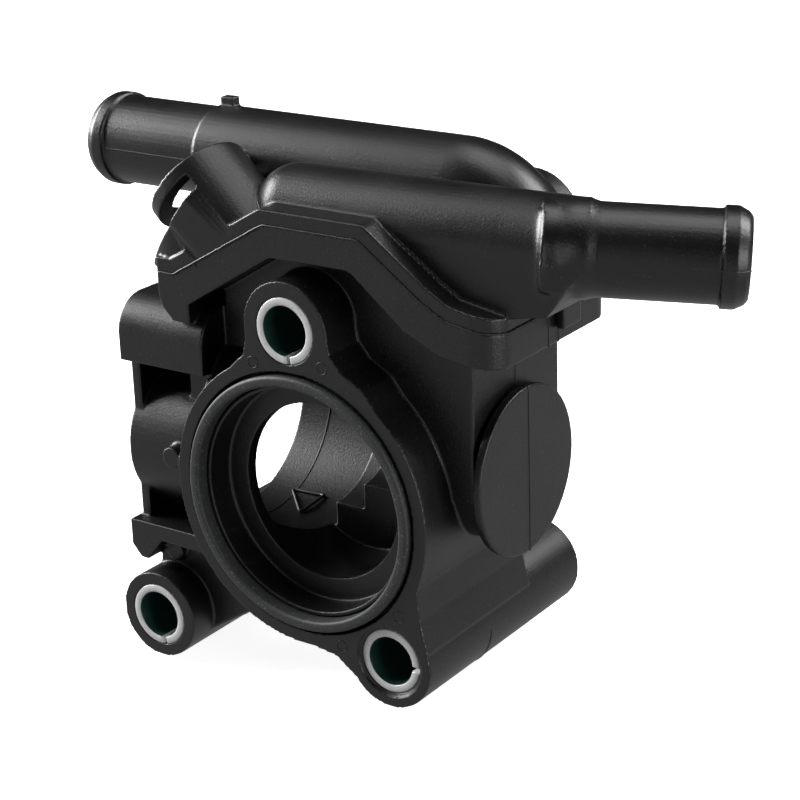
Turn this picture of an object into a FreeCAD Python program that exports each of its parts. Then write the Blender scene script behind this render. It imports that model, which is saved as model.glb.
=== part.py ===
import FreeCAD, Part
import math
import os
import Sketcher

# Coolant flange of a passenger car engine: a moulded lower housing, a moulded
# upper cover welded on top of it, three rolled steel sleeves for the bolts and
# the rubber gasket of the main bore.
# Frame: the origin is the centre of the main bore on the front sealing plane.
# X points to the right hose nozzle, Y points into the housing, Z points up.

os.makedirs("parts", exist_ok=True)
doc = FreeCAD.newDocument("CoolantFlange")

SIZES = {
    # sleeves pressed into the bolt bosses
    "sleeve_radius": 6.0,
    "sleeve_wall": 1.5,
    "sleeve_seam": 0.9,
    "press_clearance": 0.02,
    "top_bolt_x": -1.0,
    "top_bolt_z": 31.9,
    "left_bolt_x": -34.5,
    "left_bolt_z": -29.8,
    "right_bolt_x": 18.4,
    "right_bolt_z": -25.9,
    "top_boss_radius": 8.8,
    "left_boss_radius": 8.4,
    "right_boss_radius": 8.6,
    "top_boss_depth": 36.6,
    "left_boss_depth": 46.0,
    "right_boss_depth": 51.0,
    "right_sleeve_inset": 0.6,
    # main bore, its lip and the gasket groove
    "ring_radius": 26.9,
    "neck_depth": 34.0,
    "flange_depth": 8.6,
    "bore_radius": 20.8,
    "bore_depth": 7.0,
    "inner_bore_radius": 16.5,
    "lip_radius": 21.6,
    "lip_inset": 1.5,
    "groove_radius": 24.4,
    "groove_depth": 2.6,
    "gasket_inner": 21.9,
    "gasket_outer": 23.8,
    "gasket_proud": 1.0,
    # box shaped body with the cross tube
    "body_left": -21.0,
    "body_right": 31.4,
    "body_front": 8.6,
    "body_back": 36.6,
    "body_low": 3.5,
    "wall": 3.0,
    "cross_y": 21.6,
    "cross_z": 5.9,
    "hub_radius": 12.97,
    "disc_radius": 15.4,
    "disc_proud": 2.6,
    "disc_gap": 1.0,
    "disc_post_radius": 12.6,
    "cross_bore": 15.0,
    "port_radius": 22.0,
    "port_bore": 19.6,
    "port_end": -29.5,
    "port_step": -8.0,
    # block in front of the side port
    "block_left": -41.0,
    "block_front": 2.0,
    "block_back": 18.0,
    "block_plate": 2.0,
    "plate_set_back": 2.8,
    "block_top": 31.0,
    "block_low": -20.0,
    "bar_top_low": 19.3,
    "bar_low_top": -12.4,
    "block_corner": 6.5,
    "drum_radius": 14.1,
    "drum_y": 16.7,
    "drum_z": 1.6,
    "drum_wall": 2.2,
    "pin_mark_radius": 2.0,
    # weld flange, a band bent like a roof
    "band_left": -30.5,
    "band_right": 40.0,
    "band_front": 2.0,
    "band_back": 40.4,
    "band_corner": 5.0,
    "band_bend": 7.0,
    "joint_eave_left": 37.7,
    "joint_knee_left": -26.8,
    "joint_ridge_left": -6.2,
    "joint_ridge": 49.5,
    "joint_ridge_right": 13.7,
    "joint_slope_right": 25.6,
    "joint_slope_z": 40.9,
    "joint_knee_right": 30.5,
    "joint_knee_z": 38.2,
    "joint_eave_right": 36.5,
    "band_drop": 6.2,
    "leg_width": 6.7,
    "leg_drop": 8.8,
    "lip_rise": 2.7,
    # dome of the upper cover with the right nozzle
    "dome_y": 14.4,
    "dome_z": 49.9,
    "dome_radius": 8.3,
    "dome_left": -7.0,
    "dome_right": 48.6,
    "dome_foot_right": 47.3,
    "dome_rise": 0.9,
    "collar_length": 1.6,
    "nozzle_turn": 27.0,
    "nozzle_fall": 3.2,
    "nozzle_radius": 7.75,
    "nozzle_bore": 5.9,
    "nozzle_length": 27.2,
    "bead_height": 0.6,
    "bead_length": 4.5,
    # pipe along the back of the cover
    "pipe_y": 28.0,
    "pipe_z": 53.2,
    "pipe_radius": 8.7,
    "elbow_bend": 13.0,
    "pipe_right": 17.5,
    "pipe_step": -35.6,
    "pipe_end": -62.2,
    "hose_radius": 8.25,
    "hose_bore": 6.3,
    "cap_x": 26.5,
    "cap_z": 46.0,
    "cap_radius": 9.6,
    "cap_back": 37.0,
    "nub_x": -33.6,
    "nub_width": 3.0,
    "nub_top": 63.6,
    # sensor port at the left of the cover
    "port_rim_x": -28.2,
    "port_rim_y": 12.0,
    "port_rim_z": 52.3,
    "sensor_tilt": 52.4,
    "sensor_turn": 11.0,
    "sensor_radius": 9.7,
    "sensor_bore": 6.7,
    "sensor_length": 17.0,
    "sensor_rim": 2.5,
    "sensor_slot": 3.2,
    "saddle_x": -27.4,
    "saddle_low": 37.9,
    "saddle_top": 54.0,
    # locking tab under the dome
    "tab_y": 21.2,
    "tab_width": 5.8,
    "tab_low": 33.0,
    "tab_thick": 1.6,
}

sheet = doc.addObject("Spreadsheet::Sheet", "Sizes")
for row, (alias, value) in enumerate(SIZES.items(), start=1):
    sheet.set("A%d" % row, alias)
    sheet.set("B%d" % row, str(value))
    sheet.setAlias("B%d" % row, alias)
doc.recompute()

RIGHTWARD = FreeCAD.Rotation(FreeCAD.Vector(0, 1, 0), 90)
LEFTWARD = FreeCAD.Rotation(FreeCAD.Vector(0, 1, 0), -90)
BACKWARD = FreeCAD.Rotation(FreeCAD.Vector(1, 0, 0), -90)
UPWARD = FreeCAD.Rotation()
STANDING_XZ = FreeCAD.Rotation(FreeCAD.Vector(1, 0, 0), 90)
STANDING_YZ = FreeCAD.Rotation(FreeCAD.Vector(1, 1, 1), 120)


def named(expression):
    """Expression with each size written as a cell of the sheet."""
    words = str(expression).replace("(", " ( ").replace(")", " ) ").split()
    return " ".join("Sizes." + word if word in SIZES else word for word in words)


def number(expression):
    """Value of an expression of sizes, in millimetres."""
    return float(sheet.evalExpression(named(expression).replace("Sizes.", "")))


def bind(thing, prop, expression):
    """Bind one property of an object to the sheet."""
    thing.setExpression(prop, named(expression))


def place(thing, at, turn=UPWARD):
    """Turn an object and bind its position to the sheet."""
    thing.Placement = FreeCAD.Placement(FreeCAD.Vector(*[number(v) for v in at]), turn)
    for axis, value in zip("xyz", at):
        bind(thing, ".Placement.Base." + axis, value)


def cylinder(name, radius, length, at, turn=BACKWARD):
    """Round bar that starts at a point and runs along the turned Z axis."""
    thing = doc.addObject("Part::Cylinder", name)
    bind(thing, "Radius", radius)
    bind(thing, "Height", length)
    place(thing, at, turn)
    return thing


def quarter_torus(name, bend, radius, at):
    """Quarter of a bent pipe, from straight up over the centre to the +X side."""
    thing = doc.addObject("Part::Torus", name)
    bind(thing, "Radius1", bend)
    bind(thing, "Radius2", radius)
    thing.Angle3 = 90
    place(thing, at, STANDING_XZ)
    return thing


def ball(name, radius, at):
    """Ball with a bound radius and centre."""
    thing = doc.addObject("Part::Sphere", name)
    bind(thing, "Radius", radius)
    place(thing, at)
    return thing


def block(name, low, high):
    """Box between two corners given as expressions."""
    thing = doc.addObject("Part::Box", name)
    for prop, start, end in zip(("Length", "Width", "Height"), low, high):
        bind(thing, prop, "( %s ) - ( %s )" % (end, start))
    place(thing, low)
    return thing


def outline(name, points, at=(0, 0, 0), turn=STANDING_XZ):
    """Closed sketch whose corners are bound to the sheet."""
    sketch = doc.addObject("Sketcher::SketchObject", name)
    place(sketch, at, turn)
    corners = [FreeCAD.Vector(number(a), number(b), 0) for a, b in points]
    count = len(corners)
    for index in range(count):
        sketch.addGeometry(Part.LineSegment(corners[index], corners[(index + 1) % count]))
    for index in range(count):
        sketch.addConstraint(
            Sketcher.Constraint("Coincident", index, 2, (index + 1) % count, 1))
    for index, (a, b) in enumerate(points):
        for kind, value in (("DistanceX", a), ("DistanceY", b)):
            datum = sketch.addConstraint(
                Sketcher.Constraint(kind, -1, 1, index, 1, number(value)))
            bind(sketch, "Constraints[%d]" % datum, value)
    return sketch


def prism(name, points, start, end, turn=STANDING_XZ):
    """Solid between two planes across Y, or across X for a YZ outline."""
    along_y = turn is STANDING_XZ
    at = (0, start, 0) if along_y else (start, 0, 0)
    solid = doc.addObject("Part::Extrusion", name)
    solid.Base = outline(name + "_outline", points, at, turn)
    solid.DirMode = "Custom"
    solid.Dir = FreeCAD.Vector(0, 1, 0) if along_y else FreeCAD.Vector(1, 0, 0)
    bind(solid, "LengthFwd", "( %s ) - ( %s )" % (end, start))
    solid.Solid = True
    return solid


def turned(name, points, at, turn):
    """Solid of revolution from a half outline of radius and height."""
    solid = doc.addObject("Part::Revolution", name)
    solid.Source = outline(name + "_outline", points)
    solid.Axis = FreeCAD.Vector(0, 0, 1)
    solid.Base = FreeCAD.Vector(0, 0, 0)
    solid.Angle = 360
    solid.Solid = True
    place(solid, at, turn)
    return solid


def joined(name, things):
    """Union of several solids."""
    union = doc.addObject("Part::MultiFuse", name)
    union.Shapes = things
    union.Refine = True
    return union


def cleared(name, base, tools):
    """Base solid with several tools taken away."""
    result = doc.addObject("Part::Cut", name)
    result.Base = base
    result.Tool = tools[0] if len(tools) == 1 else joined(name + "_tools", tools)
    result.Refine = True
    return result


def rounded(name, base, picks):
    """Fillet of the straight edges that pass a test, each with a radius."""
    doc.recompute()
    edges = []
    for index, edge in enumerate(base.Shape.Edges, start=1):
        if edge.Curve.TypeId != "Part::GeomLine":
            continue
        start, end = edge.Vertexes[0].Point, edge.Vertexes[-1].Point
        for test, radius in picks:
            if test(start, end):
                edges.append((index, number(radius), number(radius)))
                break
    result = doc.addObject("Part::Fillet", name)
    result.Base = base
    result.Edges = edges
    return result


def runs_along(start, end, axis):
    """True for an edge parallel to one axis."""
    span = end - start
    return abs(abs(span[axis]) - span.Length) < 1e-6


def near(value, expression):
    """True when a coordinate lies on a bound place."""
    return abs(value - number(expression)) < 1e-3


def band_profile(rise):
    """Corners of the weld joint line, moved square to itself by a rise."""
    return [
        ("band_left", "joint_eave_left + 1.02 * ( %s )" % rise),
        ("joint_knee_left - 0.25 * ( %s )" % rise, "joint_eave_left + 0.98 * ( %s )" % rise),
        ("joint_ridge_left - 0.27 * ( %s )" % rise, "joint_ridge + ( %s )" % rise),
        ("joint_ridge_right + 0.32 * ( %s )" % rise, "joint_ridge + ( %s )" % rise),
        ("joint_slope_right + 0.47 * ( %s )" % rise, "joint_slope_z + 0.88 * ( %s )" % rise),
        ("joint_knee_right + 0.25 * ( %s )" % rise, "joint_knee_z + 0.95 * ( %s )" % rise),
        ("band_right", "joint_eave_right + ( %s )" % rise),
    ]


def bent_band(name, points):
    """Prism of the band with soft bends and the plan corners rounded."""
    raw = prism(name + "_raw", points, "band_front", "band_back")
    left, right = number("band_left + leg_width"), number("band_right")

    def is_bend(start, end):
        inside = left + 0.5 < start.x < right - 1
        return runs_along(start, end, 1) and inside

    def is_corner(start, end):
        return runs_along(start, end, 2) and near(start.x, "band_right")

    return rounded(name, raw, [(is_corner, "band_corner"), (is_bend, "band_bend * 0.45")])


# Lower housing: the solid masses
neck = cylinder("neck", "ring_radius", "neck_depth", (0, 0, 0))
top_plate = prism("top_plate", [
    (-19.5, 18.0), (-13.2, 23.6), (-10.4, 26.2), (-9.7, 29.4), (-9.7, "top_bolt_z"),
    (7.7, "top_bolt_z"), (8.3, 29.0), (10.6, 26.2), (14.8, 23.9), (19.5, 18.0),
], 0, "flange_depth")
top_boss = cylinder(
    "top_boss", "top_boss_radius", "top_boss_depth", ("top_bolt_x", 0, "top_bolt_z"))
left_boss = cylinder(
    "left_boss", "left_boss_radius", "left_boss_depth", ("left_bolt_x", 0, "left_bolt_z"))
right_boss = cylinder(
    "right_boss", "right_boss_radius", "right_boss_depth", ("right_bolt_x", 0, "right_bolt_z"))
left_web = prism("left_web", [
    (-38.4, -23.0), (-37.8, -17.6), (-20.0, -13.0), (-12.0, -24.0), (-31.5, -36.5),
], 6.0, 40.0)
right_web = prism("right_web", [
    (0.0, -26.6), (7.0, -27.6), (11.0, -30.5), ("right_bolt_x", "right_bolt_z"),
    (26.6, -22.5), (25.2, -16.5), (24.6, -10.0), (0.0, -10.0),
], 0, "neck_depth")
body = prism("body", [
    ("body_left", "body_low"), ("body_right", "body_low"), ("body_right", 34.0),
    (24.0, 37.0), (12.5, 45.5), (-5.5, 45.5), ("body_left", 37.5),
], "body_front", "body_back")
hub = cylinder(
    "hub", "hub_radius", "body_right", (0, "cross_y", "cross_z"), RIGHTWARD)
side_port = cylinder(
    "side_port", "port_radius", "- port_end", (0, "cross_y", "cross_z"), LEFTWARD)
port_front = block(
    "port_front", ("port_end - 1", -2, -20), ("body_left - 1", "body_front - 1", 30))
port_tube = cleared("port_tube", side_port, [port_front])
end_plate = prism("end_plate", [
    ("block_front", "block_low + 3"), ("block_front + 3", "block_low"),
    ("block_back", "block_low"), ("block_back", "block_top"),
    ("block_front + block_corner * 0.6", "block_top - 1.5"),
    ("block_front + 1.2", "block_top - 4.5"), ("block_front", "block_top - 7"),
    ("block_front", "bar_top_low"), ("block_front + plate_set_back", "bar_top_low"),
    ("block_front + plate_set_back", "bar_low_top"), ("block_front", "bar_low_top"),
], "block_left", "block_left + block_plate", STANDING_YZ)
top_bar = prism("top_bar", [
    ("block_front", "bar_top_low"), ("block_back", "bar_top_low"),
    ("block_back", "block_top"), ("block_front", "block_top"),
], "block_left", "body_left - 0.4", STANDING_YZ)
top_bar_soft = rounded("top_bar_soft", top_bar, [
    (lambda a, b: runs_along(a, b, 0) and near(a.y, "block_front")
     and near(a.z, "block_top"), "block_corner")])
low_bar = prism("low_bar", [
    ("block_left - 0.6", "bar_low_top"), ("block_left - 0.6", "block_low + 2.4"),
    ("block_left + 1.4", "block_low + 0.2"), ("block_left + 3", "block_low"),
    ("block_left + 6.9", "block_low + 4.6"), (-22.0, "block_low + 4.0"),
    (-22.0, "bar_low_top"),
], "block_front", "block_back")
web_pin = cylinder(
    "web_pin", "pin_mark_radius", 4, (-33.6, 4.6, -18.2))
drum_pin = cylinder(
    "drum_pin", "pin_mark_radius", 6, (-28.9, 0.2, 2.9))
drum = cylinder(
    "drum", "drum_radius", "body_left - block_left",
    ("block_left", "drum_y", "drum_z"), RIGHTWARD)
drum_cut = block(
    "drum_cut", ("block_left - 2", "block_back", -20), ("port_end", 60, 30))
drum_half = cleared("drum_half", drum, [drum_cut])
disc_post = cylinder(
    "disc_post", "disc_post_radius", "body_right + disc_gap + 0.5",
    (0, "cross_y", "cross_z"), RIGHTWARD)
disc = cylinder(
    "disc", "disc_radius", "disc_proud - disc_gap",
    ("body_right + disc_gap", "cross_y", "cross_z"), RIGHTWARD)
joint_points = band_profile(0)
band_low = [
    ("band_right", "joint_eave_right - band_drop"),
    ("joint_knee_right - 1.6", "joint_knee_z - band_drop"),
    ("joint_slope_right - 3.2", "joint_slope_z - band_drop * 0.95"),
    ("joint_ridge_right - 2.0", "joint_ridge - band_drop * 0.92"),
    ("joint_ridge_left + 1.2", "joint_ridge - band_drop * 0.92"),
    ("band_left + leg_width", "joint_eave_left - 5.2"),
    ("band_left + leg_width", "joint_eave_left - leg_drop"),
    ("band_left + 3", "joint_eave_left - leg_drop"),
    ("band_left + 0.8", "joint_eave_left - leg_drop + 2.2"),
    ("band_left", "joint_eave_left - leg_drop + 4.6"),
]
band = bent_band("band", joint_points + band_low)

# Sensor port: its axis and its bore, which runs on into the housing
lean = FreeCAD.Rotation(FreeCAD.Vector(0, 0, 1), -number("sensor_turn"))
lean = lean.multiply(FreeCAD.Rotation(FreeCAD.Vector(0, 1, 0), -number("sensor_tilt")))
away = lean.multVec(FreeCAD.Vector(0, 0, 1))


def below_rim(depth):
    """Point on the sensor port's axis, a bound depth below its rim."""
    return tuple(
        "%s - ( %s ) * ( %.5f )" % (start, depth, part)
        for start, part in zip(("port_rim_x", "port_rim_y", "port_rim_z"), away))


sensor_hollow = cylinder(
    "sensor_hollow", "sensor_bore", "sensor_length - 3", below_rim("sensor_length - 4"), lean)
sensor_tip = cylinder(
    "sensor_tip", 3.6, "sensor_length + 9", below_rim("sensor_length + 8"), lean)

# Lower housing: the hollows
front_bore = cylinder("front_bore", "bore_radius", "bore_depth + 1", (0, -1, 0))
lip_recess = cylinder("lip_recess", "lip_radius", "lip_inset + 1", (0, -1, 0))
groove_out = cylinder("groove_out", "groove_radius", "groove_depth + 1", (0, -1, 0))
groove_in = cylinder("groove_in", "lip_radius", "groove_depth + 3", (0, -2, 0))
groove = cleared("groove", groove_out, [groove_in])
inner_bore = cylinder(
    "inner_bore", "inner_bore_radius", "cross_y", (0, 0, 0))
port_round = cylinder(
    "port_round", "port_bore", "port_step - port_end + 2",
    ("port_step", "cross_y", "cross_z"), LEFTWARD)
port_keep = block(
    "port_keep", ("port_end - 3", -2, -20), (0, "body_front + 1", 30))
port_hollow = cleared("port_hollow", port_round, [port_keep])
cross_hollow = cylinder(
    "cross_hollow", "cross_bore", "- port_step - 0.5",
    ("port_step - 1", "cross_y", "cross_z"), RIGHTWARD)
hub_hollow = cylinder(
    "hub_hollow", "hub_radius - wall", "body_right - 4 + 3",
    (-3.0, "cross_y", "cross_z"), RIGHTWARD)
drum_hollow = cylinder(
    "drum_hollow", "drum_radius - drum_wall", "body_left - block_left - block_plate - 5",
    ("block_left + block_plate", "drum_y", "drum_z"), RIGHTWARD)
chamber = prism("chamber", [
    (-9.0, 15.0), (27.4, 15.0), (27.4, 44.0), (14.0, 54.0), (-6.0, 54.0), (-16.5, 48.0),
    (-16.5, 34.0), (-9.0, 27.0),
], "body_front + wall", "body_back - wall")
BOLTS = (
    ("top", "top_bolt_x", "top_bolt_z", "top_boss_depth"),
    ("left", "left_bolt_x", "left_bolt_z", "left_boss_depth"),
    ("right", "right_bolt_x", "right_bolt_z", "right_boss_depth"),
)
bolt_holes = [
    cylinder(side + "_hole", "sleeve_radius + press_clearance", depth + " + 2", (x, -1, z))
    for side, x, z, depth in BOLTS
]
right_mouth = cylinder(
    "right_mouth", "sleeve_radius + 0.7", "right_sleeve_inset + 1",
    ("right_bolt_x", -1, "right_bolt_z"))

masses = joined("housing_mass", [
    neck, top_plate, left_boss, right_boss, left_web, right_web, body, hub,
    port_tube, end_plate, top_bar_soft, low_bar, drum_half, disc_post, disc, band, web_pin, drum_pin])
hollowed = cleared("housing_hollowed", masses, [
    front_bore, lip_recess, inner_bore, port_hollow, cross_hollow, hub_hollow, drum_hollow,
    chamber])
with_boss = joined("housing_with_boss", [hollowed, top_boss])
lower_housing = cleared(
    "housing_drilled", with_boss, bolt_holes + [right_mouth, sensor_hollow, groove])
lower_housing.Label = "lower_housing"

# Upper cover: the solid masses
lip_low = list(reversed(band_profile(0)))
lip = bent_band("cover_lip", band_profile("lip_rise") + lip_low)
climb = FreeCAD.Rotation(FreeCAD.Vector(0, 1, 0), -90 - number("dome_rise"))
tube = cylinder(
    "tube", "dome_radius", "dome_right - dome_left",
    ("dome_right", "dome_y", "dome_z"), climb)
tube_length = "( dome_right - dome_left )"
tube_reach, tube_drop = (
    "%s * %.9f" % (tube_length, turn(math.radians(number("dome_rise"))))
    for turn in (math.cos, math.sin))
tube_end = ball(
    "tube_end", "dome_radius",
    ("dome_right - " + tube_reach, "dome_y", "dome_z - " + tube_drop))
tube_bend = ball("tube_bend", "dome_radius", ("dome_right", "dome_y", "dome_z"))
dome_walls = prism("dome_walls", [
    ("dome_left - 3.5", 44.6), ("dome_left", "dome_z - 0.9"), ("dome_right", "dome_z"),
    ("dome_right + 2", "dome_z"), ("dome_right + 2", "dome_z - 5.2"),
    ("dome_foot_right", 40.2), (44.0, 39.6), (38.0, 38.3), (38.0, 36.0),
    ("dome_left", 36.0),
], "dome_y - dome_radius + 0.06", "dome_y + dome_radius - 0.06")
under_joint = bent_band(
    "under_joint", joint_points + [("band_right", 20.0), ("band_left", 20.0)])
outlet_turn = FreeCAD.Rotation(FreeCAD.Vector(0, 0, 1), number("nozzle_turn"))
outlet_side = outlet_turn.multVec(FreeCAD.Vector(0, 1, 0))
collar_walls = doc.addObject("Part::Extrusion", "collar_walls")
collar_walls.Base = outline("collar_walls_outline", [
    (-6.0, "dome_z"), ("collar_length", "dome_z"), ("collar_length", "dome_z - 0.9"),
    (-2.0, "dome_z - 5.2"), (-6.0, "dome_z - 5.2"),
], ("dome_right - ( dome_radius - 0.06 ) * ( %.6f )" % outlet_side.x,
    "dome_y - ( dome_radius - 0.06 ) * %.6f" % outlet_side.y, 0),
    outlet_turn.multiply(STANDING_XZ))
collar_walls.DirMode = "Custom"
collar_walls.Dir = outlet_side
bind(collar_walls, "LengthFwd", "2 * ( dome_radius - 0.06 )")
collar_walls.Solid = True
pipe = cylinder(
    "pipe", "pipe_radius", "pipe_right - pipe_step", ("pipe_step", "pipe_y", "pipe_z"),
    RIGHTWARD)
pipe_elbow = quarter_torus(
    "pipe_elbow", "elbow_bend", "pipe_radius", ("pipe_right", "pipe_y", "pipe_z - elbow_bend"))
pipe_saddle = prism("pipe_saddle", [
    (-14.0, 46.2), ("pipe_right", 44.0), ("pipe_right + elbow_bend - 2", 40.5),
    ("pipe_right + elbow_bend - 2", 46.0), ("pipe_right + 4", "pipe_z - 1"),
    (-11.0, "pipe_z"),
], "pipe_y - pipe_radius + 1", "pipe_y + pipe_radius")
hose_outline = [
    ("hose_bore", 0), ("hose_radius", 0), ("hose_radius", "- pipe_end + pipe_step - bead_length"),
    ("hose_radius + bead_height", "- pipe_end + pipe_step - bead_length"),
    ("hose_radius + bead_height", "- pipe_end + pipe_step - bead_length * 0.5"),
    ("hose_radius - 0.2", "- pipe_end + pipe_step - bead_length * 0.15"),
    ("hose_radius - 1.0", "- pipe_end + pipe_step"), ("hose_bore", "- pipe_end + pipe_step")]
hose_nozzle = turned(
    "hose_nozzle", hose_outline, ("pipe_step", "pipe_y", "pipe_z"), LEFTWARD)
nozzle_outline = [
    ("nozzle_bore", -6), ("nozzle_radius", -6), ("nozzle_radius", "nozzle_length - bead_length"),
    ("nozzle_radius + bead_height", "nozzle_length - bead_length"),
    ("nozzle_radius + bead_height", "nozzle_length - bead_length * 0.5"),
    ("nozzle_radius - 0.2", "nozzle_length - bead_length * 0.15"),
    ("nozzle_radius - 1.0", "nozzle_length"), ("nozzle_bore", "nozzle_length")]
aim = outlet_turn.multiply(FreeCAD.Rotation(FreeCAD.Vector(0, 1, 0), 90 + number("nozzle_fall")))
nozzle = turned("nozzle", nozzle_outline, ("dome_right", "dome_y", "dome_z"), aim)
collar = cylinder(
    "collar", "dome_radius", "collar_length", ("dome_right", "dome_y", "dome_z"), aim)
cap = cylinder(
    "cap", "cap_radius", "cap_back - pipe_y", ("cap_x", "pipe_y", "cap_z"))
nub = block(
    "nub", ("nub_x - nub_width / 2", "pipe_y", "pipe_z + 6"),
    ("nub_x + nub_width / 2", "pipe_y + 2", "nub_top"))
sensor_tube = cylinder(
    "sensor_tube", "sensor_radius", "sensor_length", below_rim("sensor_length"), lean)
saddle = cylinder(
    "saddle", "sensor_radius - 0.15", "saddle_top - saddle_low",
    ("saddle_x", "port_rim_y", "saddle_low"), UPWARD)
slot = doc.addObject("Part::Box", "clip_slot")
bind(slot, "Length", "sensor_radius + 7.4")
bind(slot, "Width", "2 * sensor_radius + 4")
bind(slot, "Height", "sensor_slot")
slot_corner = [number(value) for value in below_rim("sensor_rim + sensor_slot")]
slot_shift = FreeCAD.Vector(-number("sensor_radius") - 1, -number("sensor_radius") - 2, 0)
slot.Placement = FreeCAD.Placement(FreeCAD.Vector(*slot_corner) + lean.multVec(slot_shift), lean)
saddle_cut = doc.addObject("Part::Box", "saddle_cut")
bind(saddle_cut, "Length", "4 * sensor_radius")
bind(saddle_cut, "Width", "4 * sensor_radius")
bind(saddle_cut, "Height", "2 * sensor_radius")
saddle_shift = FreeCAD.Vector(-2 * number("sensor_radius"), -2 * number("sensor_radius"), 0)
saddle_cut.Placement = FreeCAD.Placement(
    FreeCAD.Vector(*slot_corner) + lean.multVec(saddle_shift), lean)
low_saddle = cleared("low_saddle", saddle, [saddle_cut])
sensor_whole = joined("sensor_whole", [sensor_tube, low_saddle])
sensor_neck = cleared("sensor_neck", sensor_whole, [slot])
tab = block(
    "tab", ("band_right + 0.1", "tab_y", "tab_low"),
    ("band_right + 0.1 + tab_thick", "tab_y + tab_width", "joint_eave_right + 3"))

# Upper cover: the hollows
tube_bore = cylinder(
    "tube_bore", "nozzle_bore", "dome_right - dome_left",
    ("dome_right", "dome_y", "dome_z"), climb)
nozzle_hollow = cylinder("nozzle_hollow", "nozzle_bore", "nozzle_length + 7",
                         ("dome_right", "dome_y", "dome_z"), aim)
dome_hollow = prism("dome_hollow", [
    (-6.0, 40.0), (-6.0, "dome_z - 0.8"), (44.0, "dome_z"), (38.5, 43.0), (31.0, 36.0),
    (22.0, 36.0),
], "dome_y - nozzle_bore + 0.5", "dome_y + nozzle_bore - 0.5")
pipe_bore = cylinder(
    "pipe_bore", "hose_bore", "pipe_right + 7 - pipe_end + 2",
    ("pipe_end - 2", "pipe_y", "pipe_z"), RIGHTWARD)
drop_bore = cylinder(
    "drop_bore", "hose_bore - 0.5", "pipe_z - 31", ("pipe_right + 8.7", "pipe_y", 32.0), UPWARD)
cover_mass = joined("cover_mass", [
    lip, tube, tube_end, tube_bend, dome_walls, collar_walls, pipe, pipe_elbow, pipe_saddle,
    hose_nozzle, nozzle, collar, cap, nub, sensor_neck, tab])
upper_cover = cleared("cover_hollowed", cover_mass, [
    tube_bore, nozzle_hollow, dome_hollow, pipe_bore, drop_bore,
    sensor_hollow, sensor_tip, under_joint])
upper_cover.Label = "upper_cover"


def origin_plane(part_body, role):
    """Origin plane of a body, found by its role."""
    for feature in part_body.Origin.OriginFeatures:
        if feature.Role == role:
            return feature


def body_sketch(part_body, name, role):
    """Sketch on an origin plane of its own body."""
    sketch = part_body.newObject("Sketcher::SketchObject", name)
    sketch.AttachmentSupport = [(origin_plane(part_body, role), "")]
    sketch.MapMode = "FlatFace"
    return sketch


def circle_pad(part_body, name, radii, length):
    """Ring of one or two bound radii, padded back from the XZ plane."""
    sketch = body_sketch(part_body, name + "_sketch", "XZ_Plane")
    for index, radius in enumerate(radii):
        centre = FreeCAD.Vector(0, 0, 0)
        sketch.addGeometry(Part.Circle(centre, FreeCAD.Vector(0, 0, 1), number(radius)))
        sketch.addConstraint(Sketcher.Constraint("Coincident", index, 3, -1, 1))
        datum = sketch.addConstraint(Sketcher.Constraint("Radius", index, number(radius)))
        bind(sketch, "Constraints[%d]" % datum, radius)
    pad = part_body.newObject("PartDesign::Pad", name)
    pad.Profile = sketch
    bind(pad, "Length", length)
    pad.Reversed = True
    return pad


def seam_pocket(part_body, name, length):
    """Slit of the rolled sheet, cut out to the positive X side of the sleeve."""
    sketch = body_sketch(part_body, name + "_sketch", "XZ_Plane")
    corners = [
        (0, "- sleeve_seam / 2"), ("sleeve_radius + 1", "- sleeve_seam / 2"),
        ("sleeve_radius + 1", "sleeve_seam / 2"), (0, "sleeve_seam / 2")]
    points = [FreeCAD.Vector(number(a), number(b), 0) for a, b in corners]
    for index in range(4):
        sketch.addGeometry(Part.LineSegment(points[index], points[(index + 1) % 4]))
    for index in range(4):
        sketch.addConstraint(Sketcher.Constraint("Coincident", index, 2, (index + 1) % 4, 1))
    for index, (a, b) in enumerate(corners):
        for kind, value in (("DistanceX", a), ("DistanceY", b)):
            datum = sketch.addConstraint(
                Sketcher.Constraint(kind, -1, 1, index, 1, number(value)))
            bind(sketch, "Constraints[%d]" % datum, value)
    pocket = part_body.newObject("PartDesign::Pocket", name)
    pocket.Profile = sketch
    bind(pocket, "Length", length)
    return pocket


def split_sleeve(name, x, z, depth, inset, seam_angle):
    """Rolled steel sleeve with its seam turned to the given angle from +X."""
    part_body = doc.addObject("PartDesign::Body", name + "_body")
    part_body.Label = name
    length = "%s - ( %s )" % (depth, inset)
    circle_pad(part_body, name + "_ring", ("sleeve_radius", "sleeve_radius - sleeve_wall"), length)
    doc.recompute()
    whole = part_body.Shape.Volume
    seam_pocket(part_body, name + "_seam", length + " + 2")
    doc.recompute()
    if part_body.Shape.Volume > whole - 1:
        raise ValueError(name + ": the seam cut nothing")
    place(part_body, (x, inset, z), FreeCAD.Rotation(FreeCAD.Vector(0, 1, 0), -seam_angle))
    return part_body


SEAMS = {"top": (-85, 0), "left": (-80, 0), "right": (-5, "right_sleeve_inset")}
sleeves = [
    split_sleeve(side + "_sleeve", x, z, depth, SEAMS[side][1], SEAMS[side][0])
    for side, x, z, depth in BOLTS
]

gasket = doc.addObject("PartDesign::Body", "gasket_body")
gasket.Label = "flange_gasket"
circle_pad(gasket, "gasket_ring", ("gasket_outer", "gasket_inner"), "groove_depth + gasket_proud")
place(gasket, (0, "- gasket_proud", 0))
doc.recompute()

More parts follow.
